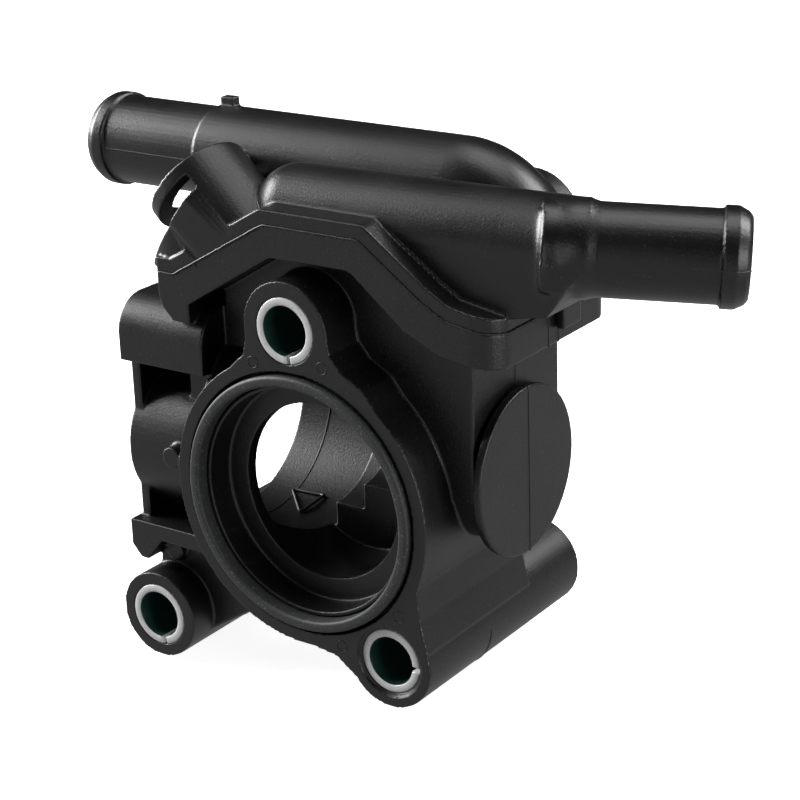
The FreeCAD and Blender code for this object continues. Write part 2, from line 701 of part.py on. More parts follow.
SUBPARTS = [lower_housing, upper_cover] + sleeves + [gasket]
for thing in doc.Objects:
    if "Invalid" in thing.State or "Error" in thing.State:
        raise ValueError(thing.Name + " failed to recompute")
for thing in SUBPARTS:
    shape = thing.Shape
    if shape.isNull() or not shape.isValid():
        raise ValueError(thing.Label + " has no valid shape")
    if len(shape.Solids) != 1:
        raise ValueError("%s has %d solids" % (thing.Label, len(shape.Solids)))
    shape.exportStep("parts/%s.step" % thing.Label)
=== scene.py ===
import math

import bmesh
import bpy
from bpy.props import FloatProperty, FloatVectorProperty, IntProperty, PointerProperty
from mathutils import Matrix, Vector
from mathutils.bvhtree import BVHTree


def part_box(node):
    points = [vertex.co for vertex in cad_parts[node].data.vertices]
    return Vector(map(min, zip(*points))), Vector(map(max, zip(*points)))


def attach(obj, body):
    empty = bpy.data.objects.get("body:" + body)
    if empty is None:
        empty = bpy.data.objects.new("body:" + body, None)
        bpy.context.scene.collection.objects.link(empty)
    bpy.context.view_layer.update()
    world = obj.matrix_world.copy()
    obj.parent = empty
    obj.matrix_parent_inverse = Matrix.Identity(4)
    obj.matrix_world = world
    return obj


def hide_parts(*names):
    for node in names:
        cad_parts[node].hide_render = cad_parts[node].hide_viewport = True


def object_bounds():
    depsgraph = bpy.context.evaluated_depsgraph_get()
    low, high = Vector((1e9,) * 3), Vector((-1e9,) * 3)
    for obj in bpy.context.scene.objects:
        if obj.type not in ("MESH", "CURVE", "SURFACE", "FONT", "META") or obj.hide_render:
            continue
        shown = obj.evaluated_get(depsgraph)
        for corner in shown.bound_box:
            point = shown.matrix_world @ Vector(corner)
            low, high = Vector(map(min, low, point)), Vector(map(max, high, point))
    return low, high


bl_info = {
    "name": "Coolant Flange",
    "version": (1, 0, 0),
    "blender": (4, 5, 0),
    "location": "View3D > Sidebar > Coolant Flange",
    "description": "Builds the moulded coolant flange around its packed frame",
    "category": "Object",
}

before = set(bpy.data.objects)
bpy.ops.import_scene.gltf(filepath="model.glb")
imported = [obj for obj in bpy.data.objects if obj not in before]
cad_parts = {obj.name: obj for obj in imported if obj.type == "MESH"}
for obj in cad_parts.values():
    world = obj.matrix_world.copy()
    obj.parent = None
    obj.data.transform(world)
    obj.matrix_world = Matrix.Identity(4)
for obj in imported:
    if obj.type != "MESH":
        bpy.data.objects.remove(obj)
CAD_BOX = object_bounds()
MM = 0.001


# Settings
class MouldingSettings(bpy.types.PropertyGroup):
    grain: FloatProperty(
        name="Remesh step", description="Size of the cells that round the moulded edges",
        default=0.00026, min=0.0002, max=0.001, subtype="DISTANCE", unit="LENGTH")
    soften: IntProperty(
        name="Soften steps", description="Smoothing steps that round the moulded edges",
        default=2, min=0, max=12)
    faces: IntProperty(
        name="Faces", description="Triangles kept in each moulding",
        default=190000, min=20000, max=199000)
    plastic: FloatVectorProperty(
        name="Plastic", description="Base colour of the black plastic", subtype="COLOR",
        default=(0.003, 0.003, 0.0033), min=0, max=1)


class MetalSettings(bpy.types.PropertyGroup):
    chamfer: FloatProperty(
        name="Sleeve chamfer", description="Chamfer on both ends of a rolled sleeve",
        default=0.00025, min=0, max=0.001, subtype="DISTANCE", unit="LENGTH")
    steel: FloatVectorProperty(
        name="Steel", description="Base colour of the sleeves", subtype="COLOR",
        default=(0.95, 0.95, 0.95), min=0, max=1)
    # Painted shade: the dark colour of the inside wall of each sleeve
    inner_shade: FloatVectorProperty(
        name="Painted inner shade", description="Colour inside the sleeves", subtype="COLOR",
        default=(0.012, 0.045, 0.038), min=0, max=1)


class RubberSettings(bpy.types.PropertyGroup):
    rubber: FloatVectorProperty(
        name="Rubber", description="Base colour of the gasket", subtype="COLOR",
        default=(0.035, 0.036, 0.037), min=0, max=1)


class DetailSettings(bpy.types.PropertyGroup):
    line: FloatProperty(
        name="Parting line", description="Radius of the fine ridge left by the mould halves",
        default=0.00013, min=0.00002, max=0.0005, subtype="DISTANCE", unit="LENGTH")
    flash: FloatProperty(
        name="Weld flash", description="Radius of the squeezed out bead along the joint",
        default=0.0002, min=0.00002, max=0.0005, subtype="DISTANCE", unit="LENGTH")
    pin: FloatProperty(
        name="Pin marks", description="Radius of the ejector pin marks on the front face",
        default=0.00105, min=0.0005, max=0.003, subtype="DISTANCE", unit="LENGTH")


class StageSettings(bpy.types.PropertyGroup):
    lens: FloatProperty(
        name="Lens", description="Focal length on a 36 mm sensor", default=97.85,
        min=20, max=300, unit="CAMERA")
    floor: FloatVectorProperty(
        name="Floor", description="Colour of the floor", subtype="COLOR",
        default=(0.9, 0.9, 0.9), min=0, max=1)


# Node helpers
# Places of the two colours and the result on a Mix node
COLOUR_INPUTS, COLOUR_OUTPUT = (6, 7), 2


def link(tree, start, end):
    tree.links.new(start, end)


def new_node(tree, kind, at, **values):
    node = tree.nodes.new(kind)
    node.location = at
    for name, value in values.items():
        setattr(node, name, value)
    return node


def set_values(node, **values):
    """Sets inputs by name, with an underscore for each space."""
    for name, value in values.items():
        node.inputs[name.replace("_", " ")].default_value = value


def number_inputs(tree, **values):
    """Named number inputs of a group, with an underscore for each space."""
    for name, value in values.items():
        socket = tree.interface.new_socket(
            name=name.replace("_", " "), in_out="INPUT", socket_type="NodeSocketFloat")
        socket.default_value = value


def group_sockets(tree, way, kind, *names):
    for name in names:
        tree.interface.new_socket(name=name, in_out=way, socket_type=kind)


def empty_material(name):
    """A material, its cleared tree and its Principled BSDF, joined to the output."""
    stuff = bpy.data.materials.new(name)
    stuff.use_nodes = True
    tree = stuff.node_tree
    tree.nodes.clear()
    out = new_node(tree, "ShaderNodeOutputMaterial", (700, 0))
    skin = new_node(tree, "ShaderNodeBsdfPrincipled", (400, 0))
    link(tree, skin.outputs[0], out.inputs["Surface"])
    return stuff, tree, skin


def add_relief(tree, height, skin, strength, distance):
    """Bump from a height in the Principled BSDF's normal."""
    relief = new_node(tree, "ShaderNodeBump", (150, -400))
    set_values(relief, Strength=strength, Distance=distance)
    link(tree, height, relief.inputs["Height"])
    link(tree, relief.outputs["Normal"], skin.inputs["Normal"])


def math_node(tree, operation, at, *values, clamp=False):
    node = new_node(tree, "ShaderNodeMath", at, operation=operation, use_clamp=clamp)
    for index, value in enumerate(values):
        if hasattr(value, "links"):
            link(tree, value, node.inputs[index])
        else:
            node.inputs[index].default_value = value
    return node.outputs[0]


GRAIN_DETAIL, GRAIN_ROUGHNESS, CLOUD_DETAIL = 3.0, 0.65, 5.0
SPECKLE_FROM, SPECKLE_TO = 0.61, 0.72
CLOUD_FROM, CLOUD_TO = 0.35, 0.65
GRAIN_HEIGHT = 0.7


def speckle_group():
    """Fine grain and pale speckle of glass filled plastic, as masks and a height."""
    tree = bpy.data.node_groups.new("moulded_speckle", "ShaderNodeTree")
    number_inputs(tree, Grain_scale=2600.0, Cloud_scale=60.0)
    group_sockets(tree, "OUTPUT", "NodeSocketFloat", "Speckle", "Cloud", "Height")
    put_in = new_node(tree, "NodeGroupInput", (-900, 0))
    put_out = new_node(tree, "NodeGroupOutput", (700, 0))
    where = new_node(tree, "ShaderNodeTexCoord", (-900, -250))
    grain = new_node(tree, "ShaderNodeTexNoise", (-600, 150))
    set_values(grain, Detail=GRAIN_DETAIL, Roughness=GRAIN_ROUGHNESS)
    link(tree, where.outputs["Object"], grain.inputs["Vector"])
    link(tree, put_in.outputs["Grain scale"], grain.inputs["Scale"])
    cloud = new_node(tree, "ShaderNodeTexNoise", (-600, -150))
    set_values(cloud, Detail=CLOUD_DETAIL)
    link(tree, where.outputs["Object"], cloud.inputs["Vector"])
    link(tree, put_in.outputs["Cloud scale"], cloud.inputs["Scale"])
    ramp = new_node(tree, "ShaderNodeMapRange", (-250, 150))
    set_values(ramp, From_Min=SPECKLE_FROM, From_Max=SPECKLE_TO)
    link(tree, grain.outputs["Fac"], ramp.inputs["Value"])
    link(tree, ramp.outputs["Result"], put_out.inputs["Speckle"])
    spread = new_node(tree, "ShaderNodeMapRange", (-250, -150))
    set_values(spread, From_Min=CLOUD_FROM, From_Max=CLOUD_TO)
    link(tree, cloud.outputs["Fac"], spread.inputs["Value"])
    link(tree, spread.outputs["Result"], put_out.inputs["Cloud"])
    height = math_node(tree, "MULTIPLY", (100, -50), grain.outputs["Fac"], GRAIN_HEIGHT)
    link(tree, height, put_out.inputs["Height"])
    return tree


def edge_highlight_group():
    """Mask of the convex edges, where a painted highlight lightens the rim."""
    tree = bpy.data.node_groups.new("painted_edge_highlight", "ShaderNodeTree")
    number_inputs(tree, Start=0.53, End=0.62)
    group_sockets(tree, "OUTPUT", "NodeSocketFloat", "Edge")
    put_in = new_node(tree, "NodeGroupInput", (-600, 0))
    put_out = new_node(tree, "NodeGroupOutput", (300, 0))
    shape = new_node(tree, "ShaderNodeNewGeometry", (-600, -200))
    reach = new_node(tree, "ShaderNodeMapRange", (-250, 0))
    link(tree, shape.outputs["Pointiness"], reach.inputs["Value"])
    link(tree, put_in.outputs["Start"], reach.inputs["From Min"])
    link(tree, put_in.outputs["End"], reach.inputs["From Max"])
    link(tree, reach.outputs["Result"], put_out.inputs["Edge"])
    return tree


def colour_mix(tree, at, mask, low, high):
    node = new_node(tree, "ShaderNodeMix", at, data_type="RGBA")
    link(tree, mask, node.inputs["Factor"])
    for index, value in zip(COLOUR_INPUTS, (low, high)):
        if hasattr(value, "links"):
            link(tree, value, node.inputs[index])
        else:
            node.inputs[index].default_value = (*value, 1)
    return node.outputs[COLOUR_OUTPUT]


# LIFT_GAIN lifts the speckle; the next two numbers lighten convex edges as a painted highlight
LIFT_GAIN, HIGHLIGHT_GAIN, HIGHLIGHT_LIFT = 2.6, 1.8, 0.006
CLOUD_GLOSS, SPECKLE_GLOSS = 0.06, 0.05
PLASTIC_RELIEF, PLASTIC_IOR = 0.00007, 1.52


def plastic_material(name, groups, base, look):
    """Satin glass filled plastic: speckle and a painted highlight on convex edges in colour,
    clouds and grain in gloss.
    """
    stuff, tree, skin = empty_material(name)
    fine = new_node(tree, "ShaderNodeGroup", (-600, 0), node_tree=groups["speckle"])
    set_values(fine, Grain_scale=look["grain"], Cloud_scale=look["cloud"])
    edge = new_node(tree, "ShaderNodeGroup", (-600, -300), node_tree=groups["edge"])
    set_values(edge, Start=look["edge"][0], End=look["edge"][1])
    lifted = tuple(min(1, c * LIFT_GAIN + look["speckle"]) for c in base)
    tone = colour_mix(tree, (-250, 150), fine.outputs["Speckle"], base, lifted)
    # Painted highlight: convex edges are made lighter, where light would catch the rim
    painted_rim = tuple(min(1, c * HIGHLIGHT_GAIN + HIGHLIGHT_LIFT) for c in base)
    tone = colour_mix(tree, (0, 150), edge.outputs["Edge"], tone, painted_rim)
    link(tree, tone, skin.inputs["Base Color"])
    gloss = math_node(
        tree, "MULTIPLY_ADD", (-100, -100), fine.outputs["Cloud"], CLOUD_GLOSS, look["rough"])
    dots = math_node(tree, "MULTIPLY", (-100, -250), fine.outputs["Speckle"], SPECKLE_GLOSS)
    gloss = math_node(tree, "ADD", (100, -100), gloss, dots, clamp=True)
    link(tree, gloss, skin.inputs["Roughness"])
    add_relief(tree, fine.outputs["Height"], skin, look["bump"], PLASTIC_RELIEF)
    set_values(skin, IOR=PLASTIC_IOR)
    return stuff


ROLLED_STRETCH, ROLLED_DETAIL = (900, 120, 900), 4.0
DULL_STEEL, STEEL_METALLIC = 0.82, 0.1
STEEL_ROUGH, STEEL_ROUGH_SPREAD = 0.25, 0.2
STEEL_BUMP, STEEL_RELIEF = 0.15, 0.00005


def steel_material(name, steel, inner_shade):
    """Bright plated steel, with dark green painted shade down the inside."""
    stuff, tree, skin = empty_material(name)
    where = new_node(tree, "ShaderNodeTexCoord", (-900, 0))
    stretch = new_node(tree, "ShaderNodeMapping", (-700, 0))
    set_values(stretch, Scale=ROLLED_STRETCH)
    link(tree, where.outputs["Object"], stretch.inputs["Vector"])
    rolled = new_node(tree, "ShaderNodeTexNoise", (-500, 0))
    set_values(rolled, Scale=1.0, Detail=ROLLED_DETAIL)
    link(tree, stretch.outputs["Vector"], rolled.inputs["Vector"])
    inside = new_node(tree, "ShaderNodeAttribute", (-500, 250))
    inside.attribute_name = "inner_wall"
    dull = tuple(c * DULL_STEEL for c in steel)
    tone = colour_mix(tree, (-200, 50), rolled.outputs["Fac"], dull, steel)
    # Painted shade: the inside wall is dark green and not metallic
    tone = colour_mix(tree, (0, 150), inside.outputs["Fac"], tone, inner_shade)
    link(tree, tone, skin.inputs["Base Color"])
    metal = math_node(tree, "SUBTRACT", (0, -50), 1.0, inside.outputs["Fac"], clamp=True)
    metal = math_node(tree, "MULTIPLY", (150, -50), metal, STEEL_METALLIC)
    link(tree, metal, skin.inputs["Metallic"])
    gloss = math_node(
        tree, "MULTIPLY_ADD", (0, -250), rolled.outputs["Fac"], STEEL_ROUGH_SPREAD, STEEL_ROUGH)
    link(tree, gloss, skin.inputs["Roughness"])
    add_relief(tree, rolled.outputs["Fac"], skin, STEEL_BUMP, STEEL_RELIEF)
    return stuff


FLOOR_GLOW, FLOOR_MIRRORED, FLOOR_BOUNCE = 0.9, 0.5, (0.05, 0.05, 0.05, 1)


def floor_material(colour):
    """Floor seen as white with a faint shadow, bright in reflections and dim as a lamp."""
    stuff = bpy.data.materials.new("studio_floor")
    stuff.use_nodes = True
    tree = stuff.node_tree
    tree.nodes.clear()
    out = new_node(tree, "ShaderNodeOutputMaterial", (700, 0))
    shade = new_node(tree, "ShaderNodeBsdfDiffuse", (0, 200))
    set_values(shade, Color=(*colour, 1))
    glow = new_node(tree, "ShaderNodeEmission", (0, 50))
    set_values(glow, Strength=FLOOR_GLOW)
    white = new_node(tree, "ShaderNodeAddShader", (200, 100))
    link(tree, shade.outputs[0], white.inputs[0])
    link(tree, glow.outputs[0], white.inputs[1])
    dark = new_node(tree, "ShaderNodeBsdfDiffuse", (0, -150))
    set_values(dark, Color=FLOOR_BOUNCE)
    rays = new_node(tree, "ShaderNodeLightPath", (0, 450))
    blend = new_node(tree, "ShaderNodeMixShader", (450, 0))
    mirrored = new_node(tree, "ShaderNodeEmission", (0, -300))
    set_values(mirrored, Strength=FLOOR_MIRRORED)
    unlit = new_node(tree, "ShaderNodeMixShader", (250, -200))
    link(tree, rays.outputs["Is Glossy Ray"], unlit.inputs["Fac"])
    link(tree, dark.outputs[0], unlit.inputs[1])
    link(tree, mirrored.outputs[0], unlit.inputs[2])
    link(tree, rays.outputs["Is Camera Ray"], blend.inputs["Fac"])
    link(tree, unlit.outputs[0], blend.inputs[1])
    link(tree, white.outputs[0], blend.inputs[2])
    link(tree, blend.outputs[0], out.inputs["Surface"])
    return stuff


# The edge pair is the pointiness range of the painted highlight on convex edges
PLASTIC_LOOK = {"grain": 2600.0, "cloud": 60.0, "edge": (0.53, 0.62)}
HOUSING_LOOK = {**PLASTIC_LOOK, "rough": 0.36, "speckle": 0.034, "bump": 1.0}
COVER_LOOK = {**PLASTIC_LOOK, "rough": 0.32, "speckle": 0.024, "bump": 0.8}
FLASH_LOOK = {**PLASTIC_LOOK, "rough": 0.4, "speckle": 0.006, "bump": 0.2}
GASKET_LOOK = {**PLASTIC_LOOK, "rough": 0.55, "speckle": 0.16, "bump": 1.0}
FLASH_LIFT = 1.6
MATERIALS = {}


def finishes():
    """All finishes, made once from the settings."""
    if MATERIALS:
        return MATERIALS
    scene = bpy.context.scene
    groups = {"speckle": speckle_group(), "edge": edge_highlight_group()}
    black = tuple(scene.flange_moulding.plastic)
    flash = tuple(c * FLASH_LIFT for c in black)
    rubber = tuple(scene.flange_rubber.rubber)
    metal = scene.flange_metal
    MATERIALS["housing"] = plastic_material("housing_plastic", groups, black, HOUSING_LOOK)
    MATERIALS["cover"] = plastic_material("cover_plastic", groups, black, COVER_LOOK)
    MATERIALS["trim"] = plastic_material("flash_plastic", groups, flash, FLASH_LOOK)
    MATERIALS["gasket"] = plastic_material("gasket_rubber", groups, rubber, GASKET_LOOK)
    MATERIALS["sleeve"] = steel_material("sleeve_steel", tuple(metal.steel), tuple(metal.inner_shade))
    return MATERIALS


# Mesh helpers
CORNER_MERGE = 0.000002


def new_piece(name, mesh, material, slot, *nodes):
    """Object at the origin that rides on the root and stands for CAD nodes."""
    piece = bpy.data.objects.new(name, mesh)
    bpy.context.scene.collection.objects.link(piece)
    mesh.materials.clear()
    mesh.materials.append(material)
    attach(piece, "root")
    if nodes:
        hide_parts(*nodes)
    return piece


def settled(piece):
    """The mesh of an object with its modifiers worked out."""
    bpy.context.view_layer.update()
    graph = bpy.context.evaluated_depsgraph_get()
    return bpy.data.meshes.new_from_object(piece.evaluated_get(graph), depsgraph=graph)


def merged_copy(node):
    """Copy of a CAD node's mesh with its loose corners merged."""
    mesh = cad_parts[node].data.copy()
    work = bmesh.new()
    work.from_mesh(mesh)
    bmesh.ops.remove_doubles(work, verts=work.verts, dist=CORNER_MERGE)
    work.to_mesh(mesh)
    work.free()
    for face in mesh.polygons:
        face.use_smooth = False
    return mesh


# Where the cover is trimmed and blended, in millimetres on the frame's axes
BAND_FRONT = 2.0
BLEND_LOW, BLEND_HIGH = (37.0, 3.0, 41.5), (54.5, 13.0, 57.0)
BLEND_STEPS, BLEND_FACING = 40, 0.2
LARGE_FACE_WEIGHT = 50


def trimmed(mesh):
    """Ends the sensor port's foot at the front of the band."""
    for corner in mesh.vertices:
        corner.co.y = max(corner.co.y, BAND_FRONT * MM)
    return mesh


def blended(mesh):
    """Smooths the front of the dome, where it runs into the collar of the nozzle."""
    low, high = Vector(BLEND_LOW) * MM, Vector(BLEND_HIGH) * MM
    work = bmesh.new()
    work.from_mesh(mesh)
    inside = [
        corner for corner in work.verts
        if all(low[k] < corner.co[k] < high[k] for k in range(3))
        and corner.normal.y < BLEND_FACING]
    for _ in range(BLEND_STEPS):
        bmesh.ops.smooth_vert(
            work, verts=inside, factor=0.5, use_axis_x=True, use_axis_y=True, use_axis_z=True)
    work.to_mesh(mesh)
    work.free()
    return mesh


def moulded(node, settings):
    """Mesh of a CAD node with every edge softened as a moulding's edges are."""
    source = merged_copy(node)
    if node == "upper_cover":
        source = trimmed(source)
    work = bpy.data.objects.new(node + "_work", source)
    bpy.context.scene.collection.objects.link(work)
    cells = work.modifiers.new("cells", "REMESH")
    cells.mode = "VOXEL"
    cells.voxel_size = settings.grain * 1.0
    cells.use_smooth_shade = True
    soft = work.modifiers.new("soft", "SMOOTH")
    soft.factor = 0.5
    soft.iterations = settings.soften
    mesh = settled(work)
    if node == "upper_cover":
        mesh = blended(mesh)
    work.modifiers.clear()
    work.data = mesh
    thin = work.modifiers.new("thin", "DECIMATE")
    mesh.calc_loop_triangles()
    thin.ratio = settings.faces / max(len(mesh.loop_triangles), 1)
    thin.use_collapse_triangulate = True
    mesh = settled(work)
    bpy.data.objects.remove(work)
    mesh.name = node + "_moulding"
    for face in mesh.polygons:
        face.use_smooth = True
    return mesh


def weighted(piece):
    """Normals that follow the large faces, so flats stay flat beside round edges."""
    even = piece.modifiers.new("even", "WEIGHTED_NORMAL")
    even.mode = "FACE_AREA"
    even.weight = LARGE_FACE_WEIGHT
    even.keep_sharp = False


# Mouldings, sleeves and gasket
class BuildHousing(bpy.types.Operator):
    """Lower housing with softened moulded edges"""
    bl_idname = "coolant_flange.housing"
    bl_label = "Lower housing"

    def execute(self, context):
        mesh = moulded("lower_housing", context.scene.flange_moulding)
        piece = new_piece(
            "housing_moulding", mesh, finishes()["housing"], "black_plastic",
            "lower_housing")
        weighted(piece)
        return {"FINISHED"}


class BuildCover(bpy.types.Operator):
    """Upper cover with softened moulded edges"""
    bl_idname = "coolant_flange.cover"
    bl_label = "Upper cover"

    def execute(self, context):
        mesh = moulded("upper_cover", context.scene.flange_moulding)
        piece = new_piece(
            "cover_moulding", mesh, finishes()["cover"], "black_plastic", "upper_cover")
        weighted(piece)
        return {"FINISHED"}


FLAT_ANGLE, RIM_ANGLE, LEVEL_EDGE = 0.02, 1.2, 1e-6
INNER_REACH, SIDE_FACING, SLEEVE_SHARP = 0.0047, 0.5, math.radians(35)


class BuildSleeves(bpy.types.Operator):
    """Three rolled steel sleeves with chamfered ends"""
    bl_idname = "coolant_flange.sleeves"
    bl_label = "Rolled sleeves"

    def execute(self, context):
        settings = context.scene.flange_metal
        for node in ("top_sleeve", "left_sleeve", "right_sleeve"):
            low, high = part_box(node)
            centre = (low + high) / 2
            mesh = merged_copy(node)
            work = bmesh.new()
            work.from_mesh(mesh)
            bmesh.ops.dissolve_limit(
                work, angle_limit=FLAT_ANGLE, verts=work.verts, edges=work.edges)
            rims = [
                edge for edge in work.edges
                if len(edge.link_faces) == 2 and edge.calc_face_angle(0) > RIM_ANGLE
                and abs(edge.verts[0].co.y - edge.verts[1].co.y) < LEVEL_EDGE]
            bmesh.ops.bevel(
                work, geom=rims, offset=settings.chamfer, segments=2, affect="EDGES",
                profile=0.5, clamp_overlap=True)
            bmesh.ops.triangulate(work, faces=work.faces)
            work.to_mesh(mesh)
            work.free()
            # Faces of the inside wall, which get the painted shade
            inner = mesh.attributes.new("inner_wall", "FLOAT", "FACE")
            for face in mesh.polygons:
                away = Vector((face.center.x - centre.x, 0, face.center.z - centre.z)).length
                wall = away < INNER_REACH and abs(face.normal.y) < SIDE_FACING
                inner.data[face.index].value = 1.0 if wall else 0.0
            new_piece(node + "_rolled", mesh, finishes()["sleeve"], "sleeve_steel", node)
            mesh.shade_smooth()
            mesh.set_sharp_from_angle(angle=SLEEVE_SHARP)
        return {"FINISHED"}


def tree_ends(tree, material, shape):
    """Realizes a shape, paints it and puts it out of the group."""
    put_out = new_node(tree, "NodeGroupOutput", (900, 0))
    real = new_node(tree, "GeometryNodeRealizeInstances", (450, 100))
    link(tree, shape, real.inputs[0])
    paint = new_node(tree, "GeometryNodeSetMaterial", (650, 100))
    set_values(paint, Material=material)
    link(tree, real.outputs[0], paint.inputs["Geometry"])
    link(tree, paint.outputs[0], put_out.inputs[0])


def tree_circle(tree, radius, at, resolution):
    circle = new_node(tree, "GeometryNodeCurvePrimitiveCircle", at, mode="RADIUS")
    set_values(circle, Resolution=resolution)
    link(tree, radius, circle.inputs["Radius"])
    return circle.outputs[0]


def tree_sweep(tree, path, profile, at):
    sweep = new_node(tree, "GeometryNodeCurveToMesh", at)
    link(tree, path, sweep.inputs["Curve"])
    link(tree, profile, sweep.inputs["Profile Curve"])
    return sweep.outputs[0]


def grown_mesh(name, path, tree, values):
    """Plain mesh that a node tree makes from a mesh of edges or points."""
    carrier = bpy.data.objects.new(name + "_work", path)
    bpy.context.scene.collection.objects.link(carrier)
    nodes = carrier.modifiers.new("grow", "NODES")
    nodes.node_group = tree
    for item in tree.interface.items_tree:
        if item.item_type == "SOCKET" and item.in_out == "INPUT" and item.name in values:
            nodes[item.identifier] = values[item.name]
    mesh = settled(carrier)
    bpy.data.objects.remove(carrier)
    mesh.name = name
    return mesh


GASKET_HALF_WIDTH, GASKET_SHARP = 0.001, math.radians(50)
RING_POINTS, CROWN_POINTS, CROWN_RADIUS = 192, 5, 0.0006
UPRIGHT = (math.radians(90), 0, 0)


def gasket_tree(material):
    """Geometry Nodes: a circle swept by a squared ring profile with a round crown."""
    tree = bpy.data.node_groups.new("gasket_ring", "GeometryNodeTree")
    number_inputs(tree, Radius=0.0229, Half_width=0.001, Front=-0.001, Back=0.0026)
    group_sockets(tree, "OUTPUT", "NodeSocketGeometry", "Geometry")
    put_in = new_node(tree, "NodeGroupInput", (-1000, 0))
    front, back = put_in.outputs["Front"], put_in.outputs["Back"]
    path = tree_circle(tree, put_in.outputs["Radius"], (-700, 200), RING_POINTS)
    size = math_node(tree, "MULTIPLY", (-800, -100), put_in.outputs["Half width"], 2.0)
    deep = math_node(tree, "SUBTRACT", (-800, -250), back, front)
    profile = new_node(tree, "GeometryNodeCurvePrimitiveQuadrilateral", (-500, -150))
    link(tree, size, profile.inputs["Width"])
    link(tree, deep, profile.inputs["Height"])
    crown = new_node(tree, "GeometryNodeFilletCurve", (-300, -150), mode="POLY")
    set_values(crown, Count=CROWN_POINTS, Radius=CROWN_RADIUS)
    link(tree, profile.outputs[0], crown.inputs[0])
    ring = tree_sweep(tree, path, crown.outputs[0], (0, 100))
    turn = new_node(tree, "GeometryNodeTransform", (250, 100))
    set_values(turn, Rotation=UPRIGHT)
    both = math_node(tree, "ADD", (-500, -400), back, front)
    middle = math_node(tree, "MULTIPLY", (-300, -400), both, 0.5)
    shift = new_node(tree, "ShaderNodeCombineXYZ", (0, -300))
    link(tree, middle, shift.inputs["Y"])
    link(tree, shift.outputs[0], turn.inputs["Translation"])
    link(tree, ring, turn.inputs["Geometry"])
    tree_ends(tree, material, turn.outputs[0])
    return tree


class BuildGasket(bpy.types.Operator):
    """Rubber ring with a rounded profile"""
    bl_idname = "coolant_flange.gasket"
    bl_label = "Gasket"

    def execute(self, context):
        rubber = finishes()["gasket"]
        low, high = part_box("flange_gasket")
        outer = (high.x - low.x) / 2
        mesh = grown_mesh(
            "gasket_ring", bpy.data.meshes.new("gasket_path"), gasket_tree(rubber),
            {"Radius": outer - GASKET_HALF_WIDTH, "Half width": GASKET_HALF_WIDTH,
             "Front": low.y, "Back": high.y})
        new_piece("gasket_ring", mesh, rubber, "gasket_rubber", "flange_gasket")
        mesh.shade_smooth()
        mesh.set_sharp_from_angle(angle=GASKET_SHARP)
        return {"FINISHED"}


# Fine details
WAVER_SCALE, BEAD_SIDES = 900.0, 6
POINT_MERGE, CUT_REACH = 0.000003, 1e-8


def bead_tree(material):
    """Geometry Nodes: a thin ridge swept along edges, a little uneven where asked."""
    tree = bpy.data.node_groups.new("moulded_bead", "GeometryNodeTree")
    group_sockets(tree, "INPUT", "NodeSocketGeometry", "Path")
    number_inputs(tree, Radius=0.0001, Step=0.0005, Uneven=0.0)
    group_sockets(tree, "OUTPUT", "NodeSocketGeometry", "Geometry")
    put_in = new_node(tree, "NodeGroupInput", (-1000, 0))
    curve = new_node(tree, "GeometryNodeMeshToCurve", (-800, 100))
    link(tree, put_in.outputs["Path"], curve.inputs["Mesh"])
    even = new_node(tree, "GeometryNodeResampleCurve", (-600, 100), mode="LENGTH")
    link(tree, curve.outputs[0], even.inputs["Curve"])
    link(tree, put_in.outputs["Step"], even.inputs["Length"])
    noise = new_node(tree, "ShaderNodeTexNoise", (-800, -250))
    set_values(noise, Scale=WAVER_SCALE)
    centred = new_node(tree, "ShaderNodeVectorMath", (-600, -250), operation="SUBTRACT")
    centred.inputs[1].default_value = (0.5, 0.5, 0.5)
    link(tree, noise.outputs["Color"], centred.inputs[0])
    waver = new_node(tree, "ShaderNodeVectorMath", (-400, -250), operation="SCALE")
    link(tree, centred.outputs[0], waver.inputs[0])
    link(tree, put_in.outputs["Uneven"], waver.inputs["Scale"])
    shifted = new_node(tree, "GeometryNodeSetPosition", (-300, 100))
    link(tree, even.outputs[0], shifted.inputs["Geometry"])
    link(tree, waver.outputs[0], shifted.inputs["Offset"])
    profile = tree_circle(tree, put_in.outputs["Radius"], (-300, -450), BEAD_SIDES)
    bead = tree_sweep(tree, shifted.outputs[0], profile, (0, 100))
    tree_ends(tree, material, bead)
    return tree


def grown(name, path, tree, **values):
    """Black piece made by a node tree from a mesh of edges or points."""
    mesh = grown_mesh(name, path, tree, values)
    new_piece(name, mesh, finishes()["trim"], "black_plastic")
    mesh.shade_smooth()


def edge_mesh(name, pairs):
    """Mesh of loose edges from pairs of points."""
    work = bmesh.new()
    for start, end in pairs:
        work.edges.new((work.verts.new(start), work.verts.new(end)))
    bmesh.ops.remove_doubles(work, verts=work.verts, dist=POINT_MERGE)
    mesh = bpy.data.meshes.new(name)
    work.to_mesh(mesh)
    work.free()
    return mesh


def section(node, point, normal, keep):
    """Edges where a plane cuts a CAD node; the rule gets their middles in millimetres."""
    work = bmesh.new()
    work.from_mesh(merged_copy(node))
    everything = work.verts[:] + work.edges[:] + work.faces[:]
    cut = bmesh.ops.bisect_plane(
        work, geom=everything, plane_co=Vector(point) * MM,
        plane_no=Vector(normal).normalized(), dist=CUT_REACH)
    lines = [item for item in cut["geom_cut"] if isinstance(item, bmesh.types.BMEdge)]
    pairs = []
    for edge in lines:
        start, end = (corner.co.copy() for corner in edge.verts)
        if keep(*((start + end) / (2 * MM))):
            pairs.append((start, end))
    work.free()
    return pairs


# The joint's left eave and the limits past which its edges show, in millimetres
EAVE_END, EAVE_HEIGHT, EAVE_SLOPE, RIDGE_START, EAVE_REACH = -26.8, 37.7, 0.573, -9.0, 0.8
JOINT_FRONT, JOINT_BACK, JOINT_RIGHT, JOINT_LEFT = 2.4, 40.0, 34.9, -30.2
# Angle of an edge that counts as sharp, and the reach in metres that counts as touching
SHARP_EDGE, TOUCHING = 0.9, 0.00004


